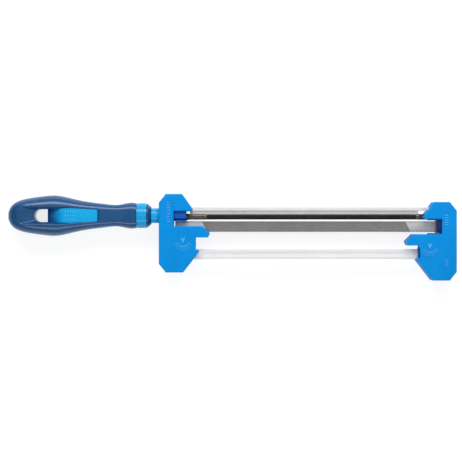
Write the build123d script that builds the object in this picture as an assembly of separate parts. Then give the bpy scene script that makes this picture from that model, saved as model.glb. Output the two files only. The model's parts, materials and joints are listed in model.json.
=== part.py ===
from build123d import *

import os

# Chainsaw file guide: a handle, two end pieces and two guide rails that carry
# one round file on each face and one flat file between them.
# Lengths are in millimetres. While modelling, x runs from the butt of the handle
# to the far end, y = 0 and z = 0 is the handle's axis, and z = 0 is the middle
# plane of the rails. The finished pieces are moved so that the origin is the
# middle of the bottom of the whole tool's box.

# ---- driving dimensions: handle ----
grip_length = 120.3
grip_height = 37.8
grip_depth = 27.0
waist_height = 20.6
waist_depth = 16.8
swell_place = 45.0
waist_place = 104.0
swell_softness = 0.9
waist_softness = 0.78
grip_front_flat = 1.0
butt_round = 1.0
ring_width = 9.0
ring_diameter = 22.8
nose_length = 4.6
nose_tip_diameter = 16.0
neck_length = 7.2
neck_diameter = 14.0
spigot_diameter = 11.0
spigot_length = 8.0
hang_hole_start = 25.1
hang_hole_length = 12.1
hang_hole_height = 12.0
insert_height = 13.8
insert_ramp_length = 14.0
insert_length = 46.5
insert_tail_height = 10.8
insert_heel_depth = 9.0
insert_recess = 1.3
insert_ramp_drop = 0.6
core_rod_overlap = 3.0
thumb_ramp_start = 8.0
thumb_ramp_half_width = 8.2
thumb_ramp_depth = 5.0
nose_step = 0.3
nose_land = 1.2

# The grip's form: share of the way along, and share of the size there.
butt_shape = [(0.0, 0.20), (0.027, 0.35), (0.08, 0.53), (0.2, 0.715), (0.4, 0.85), (0.7, 0.955)]
waist_shape = [(0.26, 0.65), (0.51, 0.31), (0.77, 0.08)]

# How deep the sloped mouth reaches down the window's wall, at each corner of its plan.
mouth_slopes = [2.2, 2.2, 1.2, 0.9]
mouth_run_out = 2.5
mouth_overlap = 1.0

# ---- driving dimensions: end pieces ----
end_spacing = 277.3
tip_drop = 7.5
end_top = 20.2
end_bottom = -53.0
end_body_width = 34.1
end_corner_width = 6.5
end_corner_height = 8.1
jaw_top_width = 21.5
jaw_reach = 31.8
jaw_tip_height = 5.6
jaw_tip_bevel = 1.8
pocket_left = 13.7
pocket_top = 4.2
pocket_bottom = -9.8
finger_top_reach = 40.7
finger_reach = 47.4
finger_point = -16.5
finger_underside = -20.4
finger_step = 0.5
finger_step_start = 0.4
foot_top = -32.0
foot_reach = 37.5
foot_lip = 1.6
foot_base_width = 22.5
core_thickness = 16.0
cover_thickness = 2.5
cover_edge_break = 0.8
core_inset = 0.4
pocket_floor_width = 11.9
rail_socket_depth = 6.0
rail_socket_half_width = 5.0
rail_socket_wall = 1.2
rail_socket_sink = 0.4
cut_past = 1.0

# ---- driving dimensions: rails ----
rail_thickness = 3.5
upper_rail_top = 7.8
upper_rail_shoulder = 4.6
upper_rail_bottom = 1.7
upper_rail_lip_thickness = 2.4
lower_rail_top = -31.3
lower_rail_height = 9.6
rail_groove_height = 3.2
rail_groove_depth = 0.3
rail_start = 9.4
lower_rail_grip = 25.7
lower_rail_mouth = 1.2
upper_rail_hold = 8.1
upper_lip_end_gap = 0.5
rail_groove_run_in = 6.0

# ---- driving dimensions: files and what carries them ----
round_file_diameter = 5.2
round_file_height = -1.1
file_above_cutter = 0.2
file_spigot_diameter = 3.2
file_tang_length = 6.0
file_tip_length = 5.9
tip_bush_length = 6.85
tip_bush_showing = 2.4
flat_file_width = 10.0
flat_file_top = -5.3
depth_gauge_setting = 0.65
flat_file_seat = 1.5
flat_file_margin = 1.4
flat_file_slot_margin = 1.2
flat_file_corner = 3.5
file_travel = 3.0
block_length = 12.9
block_top = 3.6
block_bottom = -4.2
block_bevel = 2.2
cup_head_length = 2.8
cup_head_radius = 3.1
cup_rim = 0.1
cup_web_margin = 0.3
cup_stem_length = 4.0
cup_stem_radius = 2.3
shoe_length = 8.4
shoe_showing = 4.6
shoe_travel = 2.5
shoe_lip = 0.8
spring_radius = 2.2
spring_wire = 0.6
spring_coils = 5
block_spring_seat = 7.4
shoe_spring_seat = 5.3

# ---- driving dimensions: fasteners ----
screw_shank_radius = 1.25
screw_head_radius = 2.25
screw_head_height = 1.6
screw_recess = 0.8
screw_cross_reach = 1.3
screw_cross_half_width = 0.3
boss_radius = 2.4
boss_depth = 5.0
screw_end_margin = 0.8
upper_pin_radius = 0.8
lower_pin_radius = 1.25
handle_pin_radius = 1.5
upper_pin_place = 16.9
lower_pin_place = 18.9
upper_clip_setback = 0.7
lower_clip_setback = 8.0
clip_length = 8.6
clip_sag = 1.1
clip_thickness = 0.4
clip_width = 3.0
clip_margin = 0.4

# ---- clearances ----
slide_gap = 0.10
rail_gap = 0.05
bearing_gap = 0.05
fixed_gap = 0.05
block_end_gap = 0.2
block_back_gap = 0.6
shoe_back_gap = 1.0
tip_bore_end_gap = 0.3

# ---- worked out from the driving dimensions ----
nose_end = grip_length + ring_width + nose_length
handle_end_edge = nose_end + neck_length
tip_end_edge = handle_end_edge + end_spacing
core_half = core_thickness / 2
cover_face = core_half + cover_thickness
screw_end = core_half - screw_end_margin
rail_half = rail_thickness / 2
file_radius = round_file_diameter / 2
file_offset = rail_half + file_radius - file_above_cutter * round_file_diameter
flat_half = rail_half + depth_gauge_setting
flat_file_bottom = flat_file_top - flat_file_width
web_half = file_offset - cup_head_radius + cup_web_margin
block_inner = web_half + slide_gap
block_outer = core_half - slide_gap
block_spring_y = (block_top + block_bottom) / 2
block_spring_z = (block_inner + block_outer) / 2
pocket_floor_end = handle_end_edge + pocket_left + pocket_floor_width
block_end = pocket_floor_end - block_end_gap
block_start = block_end - block_length
channel_start = block_start - file_travel - block_back_gap
file_start = block_end + cup_head_length + bearing_gap
tip_pocket_edge = tip_end_edge - pocket_left
tip_floor_start = tip_pocket_edge - pocket_floor_width
bush_start = tip_end_edge - jaw_reach - tip_bush_showing
file_end = bush_start - bearing_gap
shoe_start = tip_pocket_edge - shoe_showing
shoe_end = shoe_start + shoe_length
shoe_channel_end = shoe_end + shoe_travel + shoe_back_gap
shoe_top = flat_file_top + slide_gap + shoe_lip
shoe_bottom = flat_file_bottom - slide_gap - shoe_lip
flat_file_start = handle_end_edge + pocket_left + flat_file_margin
flat_file_end = shoe_start + flat_file_seat
upper_rail_end = tip_end_edge - jaw_top_width + upper_rail_hold
lower_rail_end = tip_end_edge - end_body_width + lower_rail_grip
lower_rail_bottom = lower_rail_top - lower_rail_height

# Screw places, from the outer edge of an end piece and from the handle's axis.
handle_end_screw_places = [(8.5, 13.5), (7.0, -24.0), (26.0, -26.0), (12.5, -47.0)]
tip_end_screw_places = [(7.0, 5.5), (7.0, -23.5), (27.0, -23.5), (12.5, -54.5)]


# ---- small helpers ----
def block(x0, x1, y0, y1, z0, z1):
    """A box between two corners."""
    centre = Pos((x0 + x1) / 2, (y0 + y1) / 2, (z0 + z1) / 2)
    return centre * Box(x1 - x0, y1 - y0, z1 - z0)


def rod_x(x0, x1, radius, y=0.0, z=0.0):
    """A round bar along x."""
    return Pos((x0 + x1) / 2, y, z) * Rot(0, 90, 0) * Cylinder(radius, x1 - x0)


def cone_x(x0, x1, radius0, radius1, y=0.0, z=0.0):
    """A round bar along x that tapers from one radius to another."""
    return Pos((x0 + x1) / 2, y, z) * Rot(0, 90, 0) * Cone(radius0, radius1, x1 - x0)


def rod_z(x, y, radius, z0, z1):
    """A round bar along z."""
    return Pos(x, y, (z0 + z1) / 2) * Cylinder(radius, z1 - z0)


def to_back(shape):
    """The same piece on the other face of the tool."""
    return mirror(shape, about=Plane.XY)


def to_tip_end(shape):
    """A handle-end shape turned round and dropped to the tip end."""
    return Pos(handle_end_edge + tip_end_edge, -tip_drop, 0) * mirror(shape, about=Plane.YZ)


def coil_spring(x0, x1, y, z):
    """A round-wire compression spring along x, between two seats."""
    wire_radius = spring_wire / 2
    mean_radius = spring_radius - wire_radius
    height = x1 - x0 - spring_wire
    path = Helix(pitch=height / spring_coils, height=height, radius=mean_radius)
    section = Plane(origin=path @ 0, z_dir=path % 0) * Circle(wire_radius)
    return Pos(x0 + wire_radius, y, z) * Rot(0, 90, 0) * sweep(section, path=path, is_frenet=True)


# ---- handle ----
def grip_stations():
    """Places along the grip, with its half height, half depth and softness there."""
    half_height, half_depth = grip_height / 2, grip_depth / 2
    thin_height, thin_depth = waist_height / 2, waist_depth / 2
    front = ring_diameter / 2
    stations = []
    for along, share in butt_shape:
        half_sizes = (share * half_height, share * half_depth)
        stations.append((along * swell_place, *half_sizes, swell_softness))
    stations.append((swell_place, half_height, half_depth, swell_softness))
    for along, share in waist_shape:
        x = swell_place + along * (waist_place - swell_place)
        height = thin_height + share * (half_height - thin_height)
        depth = thin_depth + share * (half_depth - thin_depth)
        softness = waist_softness + share * (swell_softness - waist_softness)
        stations.append((x, height, depth, softness))
    stations.append((waist_place, thin_height, thin_depth, waist_softness))
    stations.append((grip_length, front, front - grip_front_flat, waist_softness))
    return stations


def grip_face(x):
    """The height of the grip's front face at a place along it."""
    stations = grip_stations()
    for near, far in zip(stations, stations[1:]):
        if near[0] <= x <= far[0]:
            share = (x - near[0]) / (far[0] - near[0])
            return near[2] + share * (far[2] - near[2])
    raise ValueError("the place is not on the grip")


def grip_section(x, half_height, half_depth, softness):
    """One cross-section of the grip: a soft-cornered rectangle."""
    plane = Plane(origin=(x, 0, 0), x_dir=(0, 1, 0), z_dir=(1, 0, 0))
    return plane * RectangleRounded(2 * half_height, 2 * half_depth, softness * half_depth)


def make_grip_blank():
    """The grip's outer form, from a blunt butt over the swell and the waist to the ring."""
    blank = loft([grip_section(*station) for station in grip_stations()])
    return fillet(blank.faces().filter_by(Axis.X).sort_by(Axis.X)[0].edges(), butt_round)


def window_corners():
    """The corners of the window's upper half, from the hang hole to the insert's tail."""
    half_hole = hang_hole_height / 2
    insert_start = hang_hole_start + hang_hole_length
    ramp_end = insert_start + insert_ramp_length
    return [
        (hang_hole_start + half_hole, half_hole),
        (insert_start, half_hole),
        (ramp_end + insert_ramp_length / 2, insert_height / 2),
        (insert_start + insert_length, insert_tail_height / 2),
    ]


def insert_plan():
    """The window in the grip: the hang hole and the bright insert's plan."""
    half_hole = hang_hole_height / 2
    upper = window_corners()
    lower = [(x, -y) for x, y in reversed(upper)]
    window = Polygon(*upper, *lower, align=None)
    return window + Pos(hang_hole_start + half_hole, 0) * Circle(half_hole)


def make_handle_core():
    """The bright core: label insert, rod, ribbed ring's body, neck and spigot."""
    insert_start = hang_hole_start + hang_hole_length
    ramp_end = insert_start + insert_ramp_length
    insert_end = insert_start + insert_length
    half_heel = insert_heel_depth / 2
    half_ramp = grip_depth / 2 - insert_ramp_drop - insert_recess
    half_tail = waist_depth / 2
    upper = [(insert_start, half_heel), (ramp_end, half_ramp), (insert_end, half_tail)]
    lower = [(x, -z) for x, z in reversed(upper)]
    side = Plane.XZ * Polygon(*upper, *lower, align=None)
    insert = extrude(side, insert_height, both=True)
    insert &= extrude(insert_plan(), grip_depth, both=True)
    core = insert + rod_x(insert_end - core_rod_overlap, handle_end_edge, neck_diameter / 2)
    core += rod_x(grip_length, grip_length + ring_width, ring_diameter / 2)
    spigot_end = handle_end_edge + spigot_length
    core += rod_x(handle_end_edge, spigot_end, spigot_diameter / 2)
    return core - handle_pin_hole()


def make_handle_grip(core):
    """The dark grip, moulded over the core, with its window and sloped mouths."""
    grip = make_grip_blank() - extrude(insert_plan(), grip_depth, both=True)
    mouth = make_window_mouth()
    return grip - mouth - to_back(mouth) - core


def mouth_section(x, floor_z, floor_half):
    """One cross-section of the room above a window's mouth: wider towards the face."""
    top = grip_depth / 2 + cut_past
    top_half = floor_half + top - floor_z
    plane = Plane(origin=(x, 0, 0), x_dir=(0, 1, 0), z_dir=(1, 0, 0))
    corners = [(-floor_half, floor_z), (floor_half, floor_z), (top_half, top), (-top_half, top)]
    return plane * Polygon(*corners, align=None)


def make_window_mouth():
    """The room over the window: a thumb ramp from the butt, then sloped sides."""
    corners = window_corners()
    throat_x, hole_half = corners[0]
    throat_half = hole_half + mouth_slopes[0] - thumb_ramp_depth
    ramp_z = grip_face(thumb_ramp_start) + mouth_overlap / 2
    sections = [
        mouth_section(thumb_ramp_start, ramp_z, thumb_ramp_half_width),
        mouth_section(throat_x, grip_face(throat_x) - thumb_ramp_depth, throat_half),
    ]
    for (x, half), slope in zip(corners[1:], mouth_slopes[1:]):
        floor_z = grip_face(x) - slope - mouth_overlap
        sections.append(mouth_section(x, floor_z, half - mouth_overlap))
    last_x, last_half = corners[-1]
    end_x = last_x + mouth_run_out
    end_z = grip_face(end_x) + mouth_overlap / 2
    sections.append(mouth_section(end_x, end_z, last_half - mouth_overlap))
    return loft(sections, ruled=True)


def make_nose_cap():
    """The dark chamfered cap between the ring and the neck."""
    start = grip_length + ring_width
    root = ring_diameter / 2 - nose_step
    cap = rod_x(start, start + nose_land, root)
    cap += cone_x(start + nose_land, nose_end, root, nose_tip_diameter / 2)
    return cap - rod_x(start, nose_end, neck_diameter / 2)


def handle_pin_hole():
    """The cross hole for the pin that holds the handle in its end piece."""
    x = handle_end_edge + spigot_length / 2
    return rod_z(x, 0, handle_pin_radius, -core_half, core_half)


def make_pin(hole):
    """A straight pin that fills its hole and stops just short of the covers."""
    size = hole.bounding_box().size
    centre = hole.bounding_box().center()
    half = size.Z / 2 - slide_gap
    return rod_z(centre.X, centre.Y, size.X / 2, -half, half)


# ---- end pieces ----
def end_outline():
    """The outline that both end pieces share, as placed at the handle end."""
    edge = handle_end_edge
    points = [
        (edge, end_top - end_corner_height),
        (edge + end_corner_width, end_top),
        (edge + jaw_top_width, end_top),
        (edge + jaw_reach, jaw_tip_height),
        (edge + jaw_reach - jaw_tip_bevel, pocket_top),
        (edge + pocket_left, pocket_top),
        (edge + pocket_left, pocket_bottom),
        (edge + finger_top_reach, pocket_bottom),
        (edge + finger_reach, finger_point),
        (edge + finger_reach - jaw_tip_bevel, finger_underside),
        (edge + end_body_width, finger_underside),
        (edge + end_body_width, foot_top),
        (edge + foot_reach, foot_top),
        (edge + foot_reach, foot_top - foot_lip),
        (edge + foot_base_width, end_bottom),
        (edge + end_corner_width, end_bottom),
        (edge, end_bottom + end_corner_height),
    ]
    return Polygon(*points, align=None)


def core_outline():
    """The core's outline: a little smaller than the covers."""
    return offset(end_outline(), -core_inset, kind=Kind.INTERSECTION)


def make_cover(place, screw_points, is_front):
    """One cover: a plate with a broken edge, a stepped finger and screw features."""
    plate = extrude(end_outline(), cover_thickness, dir=(0, 0, 1))
    plate = chamfer(plate.faces().sort_by(Axis.Z)[-1].edges(), cover_edge_break)
    step_x = handle_end_edge + end_body_width - finger_step_start
    finger_end = handle_end_edge + finger_reach + cut_past
    finger = (finger_underside - cut_past, pocket_bottom + cut_past)
    step_z = (cover_thickness - finger_step, cover_thickness + cut_past)
    step = block(step_x, finger_end, *finger, *step_z)
    cover = place(Pos(0, 0, core_half) * (plate - step))
    for x, y in screw_points:
        if is_front:
            cover += rod_z(x, y, boss_radius, core_half - boss_depth, core_half)
            cover -= rod_z(x, y, screw_shank_radius, core_half - boss_depth, screw_end)
        else:
            cover -= rod_z(x, y, screw_shank_radius + fixed_gap, core_half, cover_face)
            seat = cover_face - screw_head_height - slide_gap
            cover -= rod_z(x, y, screw_head_radius + slide_gap, seat, cover_face)
    return cover if is_front else to_back(cover)


def make_screws(screw_points):
    """Cross-head screws let in from the back face, as one group of equal screws."""
    screws = []
    for x, y in screw_points:
        head_base = -(cover_face - screw_head_height - slide_gap)
        head_face = head_base - screw_head_height
        screw = rod_z(x, y, screw_head_radius, head_face, head_base)
        screw += rod_z(x, y, screw_shank_radius, head_base, screw_end)
        cross = (screw_cross_reach, screw_cross_half_width)
        for half_x, half_y in (cross, cross[::-1]):
            depth = head_face + screw_recess
            screw -= block(x - half_x, x + half_x, y - half_y, y + half_y, head_face, depth)
        screws.append(screw)
    return Compound(children=screws)


def cut_screw_holes(core, screw_points):
    """Clear holes for the screws, wider where the front cover's bosses sit."""
    for x, y in screw_points:
        boss_base = core_half - boss_depth
        core -= rod_z(x, y, boss_radius + fixed_gap, boss_base - fixed_gap, core_half)
        core -= rod_z(x, y, screw_shank_radius + fixed_gap, -core_half, boss_base)
    return core


def upper_rail_pin_hole():
    """The cross hole through the upper rail's tail."""
    y = (upper_rail_top + upper_rail_shoulder) / 2
    return rod_z(handle_end_edge + upper_pin_place, y, upper_pin_radius, -core_half, core_half)


def lower_rail_pin_hole():
    """The cross hole through the lower rail's tail."""
    y = (lower_rail_top + lower_rail_bottom) / 2
    return rod_z(handle_end_edge + lower_pin_place, y, lower_pin_radius, -core_half, core_half)


def make_handle_end_core(screw_points):
    """The dark core that holds the handle, the rails and both thrust blocks."""
    left = handle_end_edge + pocket_left - 2 * core_inset
    channel_floor = block_bottom - slide_gap
    channel_top = block_top + slide_gap
    core = extrude(core_outline(), core_half, both=True)
    floor_bottom = flat_file_top + slide_gap
    core += block(left, pocket_floor_end, floor_bottom, pocket_top, -core_half, core_half)
    core -= rod_x(handle_end_edge, handle_end_edge + spigot_length, spigot_diameter / 2)
    core -= handle_pin_hole()
    channel = block(channel_start, pocket_floor_end, channel_floor, channel_top, web_half, core_half)
    core -= channel
    core -= to_back(channel)
    cup_room_start = block_end - file_travel - block_end_gap
    core -= block(cup_room_start, pocket_floor_end, channel_floor, channel_top, -core_half, core_half)
    rail_start_x = handle_end_edge + rail_start
    slot_end = handle_end_edge + finger_reach
    core -= block(rail_start_x, slot_end, upper_rail_shoulder, upper_rail_top, -rail_half, rail_half)
    core -= block(rail_start_x, slot_end, lower_rail_bottom, lower_rail_top, -rail_half, rail_half)
    file_bottom = flat_file_bottom - slide_gap
    file_half = flat_half + slide_gap
    file_slot_start = flat_file_start - flat_file_slot_margin
    file_slot_end = slot_end + cut_past
    core -= block(file_slot_start, file_slot_end, file_bottom, floor_bottom, -file_half, file_half)
    core -= upper_rail_pin_hole()
    core -= lower_rail_pin_hole()
    return cut_screw_holes(core, screw_points)


def make_tip_end_core(screw_points):
    """The dark core that slides on the rails and holds the files' far ends."""
    core = extrude(to_tip_end(core_outline()), core_half, both=True)
    right = tip_pocket_edge + 2 * core_inset
    guide_top = pocket_top - tip_drop
    guide_bottom = pocket_bottom - tip_drop
    core += block(tip_floor_start, right, guide_bottom, guide_top, -core_half, core_half)
    shoe_way = (shoe_bottom - slide_gap, shoe_top + slide_gap)
    core -= block(tip_floor_start, shoe_channel_end, *shoe_way, -core_half, core_half)
    mouth = tip_end_edge - end_body_width - lower_rail_mouth
    socket_end = mouth + rail_socket_depth
    socket = (foot_top - tip_drop + rail_socket_sink, lower_rail_top + rail_socket_wall)
    core += block(mouth, socket_end, *socket, -rail_socket_half_width, rail_socket_half_width)
    half = rail_half + rail_gap
    upper_slot = (upper_rail_shoulder - rail_gap, upper_rail_top + rail_gap)
    lower_slot = (lower_rail_bottom - rail_gap, lower_rail_top + rail_gap)
    slot_start = tip_end_edge - finger_reach
    core -= block(slot_start, upper_rail_end + rail_gap, *upper_slot, -half, half)
    core -= block(slot_start, lower_rail_end + rail_gap, *lower_slot, -half, half)
    bush_end = bush_start + tip_bush_length
    bush_hole = rod_x(bush_start, bush_end, file_radius, round_file_height, file_offset)
    core -= bush_hole
    core -= to_back(bush_hole)
    core -= upper_clip_room()
    core -= lower_clip_room()
    return cut_screw_holes(core, screw_points)


# ---- rails ----
def make_upper_rail():
    """The upper guide rail: a bar with a thinner lip between the round files."""
    lip_half = upper_rail_lip_thickness / 2
    slope_end = upper_rail_shoulder - (rail_half - lip_half)
    right_side = [
        (upper_rail_top, rail_half),
        (upper_rail_shoulder, rail_half),
        (slope_end, lip_half),
        (upper_rail_bottom, lip_half),
    ]
    left_side = [(y, -z) for y, z in reversed(right_side)]
    start = handle_end_edge + rail_start
    section = Plane(origin=(start, 0, 0), x_dir=(0, 1, 0), z_dir=(1, 0, 0))
    rail = extrude(section * Polygon(*right_side, *left_side, align=None), upper_rail_end - start)
    lip_start = file_start + upper_lip_end_gap
    lip_end = bush_start - upper_lip_end_gap
    low = (upper_rail_bottom - cut_past, upper_rail_shoulder)
    rail -= block(start - cut_past, lip_start, *low, -rail_thickness, rail_thickness)
    rail -= block(lip_end, upper_rail_end + cut_past, *low, -rail_thickness, rail_thickness)
    return rail - upper_rail_pin_hole()


def make_lower_rail():
    """The lower guide rail: a flat bar with a shallow groove along each face."""
    start = handle_end_edge + rail_start
    rail = block(start, lower_rail_end, lower_rail_bottom, lower_rail_top, -rail_half, rail_half)
    middle = (lower_rail_top + lower_rail_bottom) / 2
    groove = (middle - rail_groove_height / 2, middle + rail_groove_height / 2)
    groove_start = handle_end_edge + finger_reach - rail_groove_run_in
    groove_end = tip_end_edge - finger_reach
    floor = rail_half - rail_groove_depth
    cut = block(groove_start, groove_end, *groove, floor, rail_half)
    return rail - cut - to_back(cut) - lower_rail_pin_hole()


def clip_strip(middle_x, rail_face, side):
    """A bowed leaf whose crown lies just clear of the rail's edge."""
    half = clip_length / 2
    crown = rail_face + side * bearing_gap
    rest = crown + side * clip_sag
    outer_crown = crown + side * clip_thickness
    outer_rest = rest + side * clip_thickness
    ends = (middle_x - half, middle_x + half)
    inner = ThreePointArc((ends[0], rest), (middle_x, crown), (ends[1], rest))
    outer = ThreePointArc((ends[1], outer_rest), (middle_x, outer_crown), (ends[0], outer_rest))
    caps = Line((ends[1], rest), (ends[1], outer_rest)) + Line((ends[0], outer_rest), (ends[0], rest))
    return extrude(make_face(inner + outer + caps), clip_width / 2, both=True)


def clip_room(middle_x, rail_face, side):
    """The recess in the tip end's core that a leaf sits in."""
    half = clip_length / 2 + clip_margin
    depth = bearing_gap + clip_sag + clip_thickness
    low, high = sorted((rail_face, rail_face + side * depth))
    half_width = clip_width / 2 + slide_gap
    return block(middle_x - half, middle_x + half, low, high, -half_width, half_width)


def upper_clip_place():
    """Middle of the upper leaf, the rail's edge that it bears on, and its side."""
    return upper_rail_end - clip_length / 2 - upper_clip_setback, upper_rail_top, 1


def lower_clip_place():
    """Middle of the lower leaf, the rail's edge that it bears on, and its side."""
    return lower_rail_end - clip_length / 2 - lower_clip_setback, lower_rail_bottom, -1


def upper_clip_room():
    """The upper leaf's recess."""
    return clip_room(*upper_clip_place())


def lower_clip_room():
    """The lower leaf's recess."""
    return clip_room(*lower_clip_place())


# ---- files and what carries them ----
def make_round_file():
    """A round file on the front face, with a stub tang and a stub tip."""
    place = (round_file_height, file_offset)
    spigot = file_spigot_diameter / 2
    body = rod_x(file_start, file_end, file_radius, *place)
    body += rod_x(file_start - file_tang_length, file_start, spigot, *place)
    return body + rod_x(file_end, file_end + file_tip_length, spigot, *place)


def make_tang_cup():
    """The black cup on a thrust block that takes a round file's tang."""
    place = (round_file_height, file_offset)
    head_end = block_end + cup_head_length
    cup = cone_x(block_end, head_end, cup_head_radius, file_radius + cup_rim, *place)
    cup += rod_x(block_end - cup_stem_length, block_end, cup_stem_radius, *place)
    bore = file_spigot_diameter / 2 + bearing_gap
    bore_start = file_start - file_tang_length - bearing_gap
    return cup - rod_x(bore_start, head_end, bore, *place)


def make_thrust_block():
    """The sprung block in the handle end that pushes a round file home."""
    body = block(block_start, block_end, block_bottom, block_top, block_inner, block_outer)
    lower_front = body.edges().filter_by(Axis.X).sort_by(lambda e: e.center().Y - e.center().Z)[0]
    body = chamfer(lower_front, block_bevel)
    spring_hole = spring_radius + slide_gap
    spring_bottom = block_start + block_spring_seat
    body -= rod_x(block_start, spring_bottom, spring_hole, block_spring_y, block_spring_z)
    stem_start = block_end - cup_stem_length
    return body - rod_x(stem_start, block_end, cup_stem_radius, round_file_height, file_offset)


def make_block_spring():
    """The spring behind a thrust block."""
    far_seat = block_start + block_spring_seat
    return coil_spring(channel_start, far_seat, block_spring_y, block_spring_z)


def make_tip_bush():
    """The black blind bush in the tip end that takes a round file's tip."""
    place = (round_file_height, file_offset)
    bush = rod_x(bush_start, bush_start + tip_bush_length, file_radius, *place)
    bore = file_spigot_diameter / 2 + bearing_gap
    bore_end = file_end + file_tip_length + tip_bore_end_gap
    return bush - rod_x(bush_start, bore_end, bore, *place)


def make_flat_file():
    """The flat file, with one rounded corner at its far end."""
    size = (flat_file_start, flat_file_end, flat_file_bottom, flat_file_top)
    body = block(*size, -flat_half, flat_half)
    corner = body.edges().filter_by(Axis.Z).sort_by(lambda e: e.center().X + e.center().Y)[-1]
    return fillet(corner, flat_file_corner)


def make_flat_file_shoe():
    """The sprung shoe in the tip end that the flat file's far end sits in."""
    outer = core_half - slide_gap
    shoe = block(shoe_start, shoe_end, shoe_bottom, shoe_top, -outer, outer)
    half = flat_half + bearing_gap
    seat_end = flat_file_end + bearing_gap
    seat = (flat_file_bottom - bearing_gap, flat_file_top + bearing_gap)
    shoe -= block(shoe_start, seat_end, *seat, -half, half)
    middle = (flat_file_top + flat_file_bottom) / 2
    return shoe - rod_x(shoe_end - shoe_spring_seat, shoe_end, spring_radius + slide_gap, middle, 0)


def make_shoe_spring():
    """The spring behind the flat file's shoe."""
    middle = (flat_file_top + flat_file_bottom) / 2
    return coil_spring(shoe_end - shoe_spring_seat, shoe_channel_end, middle, 0)


def placed(points, edge, side):
    """Screw places turned into x and y."""
    return [(edge + side * along, y) for along, y in points]


def make_nodes():
    """Every sub-part by its name."""
    handle_core = make_handle_core()
    near = placed(handle_end_screw_places, handle_end_edge, 1)
    far = placed(tip_end_screw_places, tip_end_edge, -1)
    nodes = {
        "handle_grip": make_handle_grip(handle_core),
        "handle_core": handle_core,
        "nose_cap": make_nose_cap(),
        "handle_pin": make_pin(handle_pin_hole()),
        "handle_end_core": make_handle_end_core(near),
        "handle_end_front_cover": make_cover(lambda s: s, near, True),
        "handle_end_back_cover": make_cover(lambda s: s, near, False),
        "handle_end_screws": make_screws(near),
        "upper_guide_rail": make_upper_rail(),
        "lower_guide_rail": make_lower_rail(),
        "upper_rail_pin": make_pin(upper_rail_pin_hole()),
        "lower_rail_pin": make_pin(lower_rail_pin_hole()),
        "tip_end_core": make_tip_end_core(far),
        "tip_end_front_cover": make_cover(to_tip_end, far, True),
        "tip_end_back_cover": make_cover(to_tip_end, far, False),
        "tip_end_screws": make_screws(far),
        "upper_rail_clip": clip_strip(*upper_clip_place()),
        "lower_rail_clip": clip_strip(*lower_clip_place()),
        "flat_file": make_flat_file(),
        "flat_file_shoe": make_flat_file_shoe(),
        "flat_file_spring": make_shoe_spring(),
    }
    both_faces = {
        "round_file": make_round_file(),
        "tang_cup": make_tang_cup(),
        "thrust_block": make_thrust_block(),
        "thrust_spring": make_block_spring(),
        "tip_bush": make_tip_bush(),
    }
    for name, piece in both_faces.items():
        nodes[name + "_front"] = piece
        nodes[name + "_back"] = to_back(piece)
    return nodes


def origin_shift(pieces):
    """The move that puts the origin at the middle of the bottom of the tool's box."""
    boxes = [piece.bounding_box() for piece in pieces]
    middle_x = (min(box.min.X for box in boxes) + max(box.max.X for box in boxes)) / 2
    middle_y = (min(box.min.Y for box in boxes) + max(box.max.Y for box in boxes)) / 2
    return Pos(-middle_x, -middle_y, -min(box.min.Z for box in boxes))


os.makedirs("parts", exist_ok=True)
nodes = make_nodes()
shift = origin_shift(nodes.values())
for name, piece in nodes.items():
    export_step(shift * piece, f"parts/{name}.step")
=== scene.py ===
"""The looks of a chainsaw file guide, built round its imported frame."""

import json
import logging
import math
from collections.abc import Callable
from dataclasses import dataclass, replace
from enum import Enum

import bmesh
import bpy
from mathutils import Matrix, Vector
from mathutils.bvhtree import BVHTree


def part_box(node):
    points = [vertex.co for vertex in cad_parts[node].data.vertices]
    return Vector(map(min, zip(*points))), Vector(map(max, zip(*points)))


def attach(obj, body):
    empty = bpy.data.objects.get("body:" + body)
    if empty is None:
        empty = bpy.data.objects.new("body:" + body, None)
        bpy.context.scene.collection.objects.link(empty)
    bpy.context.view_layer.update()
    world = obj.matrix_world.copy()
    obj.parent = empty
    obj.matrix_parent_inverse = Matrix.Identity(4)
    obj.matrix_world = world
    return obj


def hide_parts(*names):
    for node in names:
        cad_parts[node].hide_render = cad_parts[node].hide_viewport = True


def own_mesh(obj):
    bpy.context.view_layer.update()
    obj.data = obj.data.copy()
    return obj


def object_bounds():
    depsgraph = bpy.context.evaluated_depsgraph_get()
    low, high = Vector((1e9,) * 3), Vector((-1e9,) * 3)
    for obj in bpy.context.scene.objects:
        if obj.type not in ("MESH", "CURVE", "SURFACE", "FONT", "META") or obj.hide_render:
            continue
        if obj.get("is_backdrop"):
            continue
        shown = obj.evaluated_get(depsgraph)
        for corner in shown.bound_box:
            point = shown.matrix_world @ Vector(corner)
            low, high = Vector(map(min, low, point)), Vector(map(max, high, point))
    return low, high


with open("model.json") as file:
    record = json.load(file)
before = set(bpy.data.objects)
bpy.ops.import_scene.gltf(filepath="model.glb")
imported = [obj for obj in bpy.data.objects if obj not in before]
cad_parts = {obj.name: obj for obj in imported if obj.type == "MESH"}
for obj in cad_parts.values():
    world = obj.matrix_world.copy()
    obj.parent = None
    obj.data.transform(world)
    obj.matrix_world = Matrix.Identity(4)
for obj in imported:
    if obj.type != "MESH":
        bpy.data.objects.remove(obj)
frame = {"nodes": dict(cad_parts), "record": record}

log = logging.getLogger("file_guide")

MM = 0.001
SMOOTH_ANGLE = math.radians(32)
TOOTH_ANGLE = math.radians(25)
CORNER_ANGLE = math.radians(35)
FLAT_ANGLE = math.radians(0.5)
CORNER_FACES = 2
MERGE_GAP = 0.002 * MM
SEAM_GAP = 0.001 * MM
RAY_RISE = 10.0 * MM
CREST_DRAW = -0.75
WHITE = (1.0, 1.0, 1.0, 1.0)
Colour = tuple[float, float, float]
BODY_OF: dict[str, str] = {
    node: body
    for body, nodes in frame["record"]["behaviour"]["bodies"].items()
    for node in nodes
}


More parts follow.
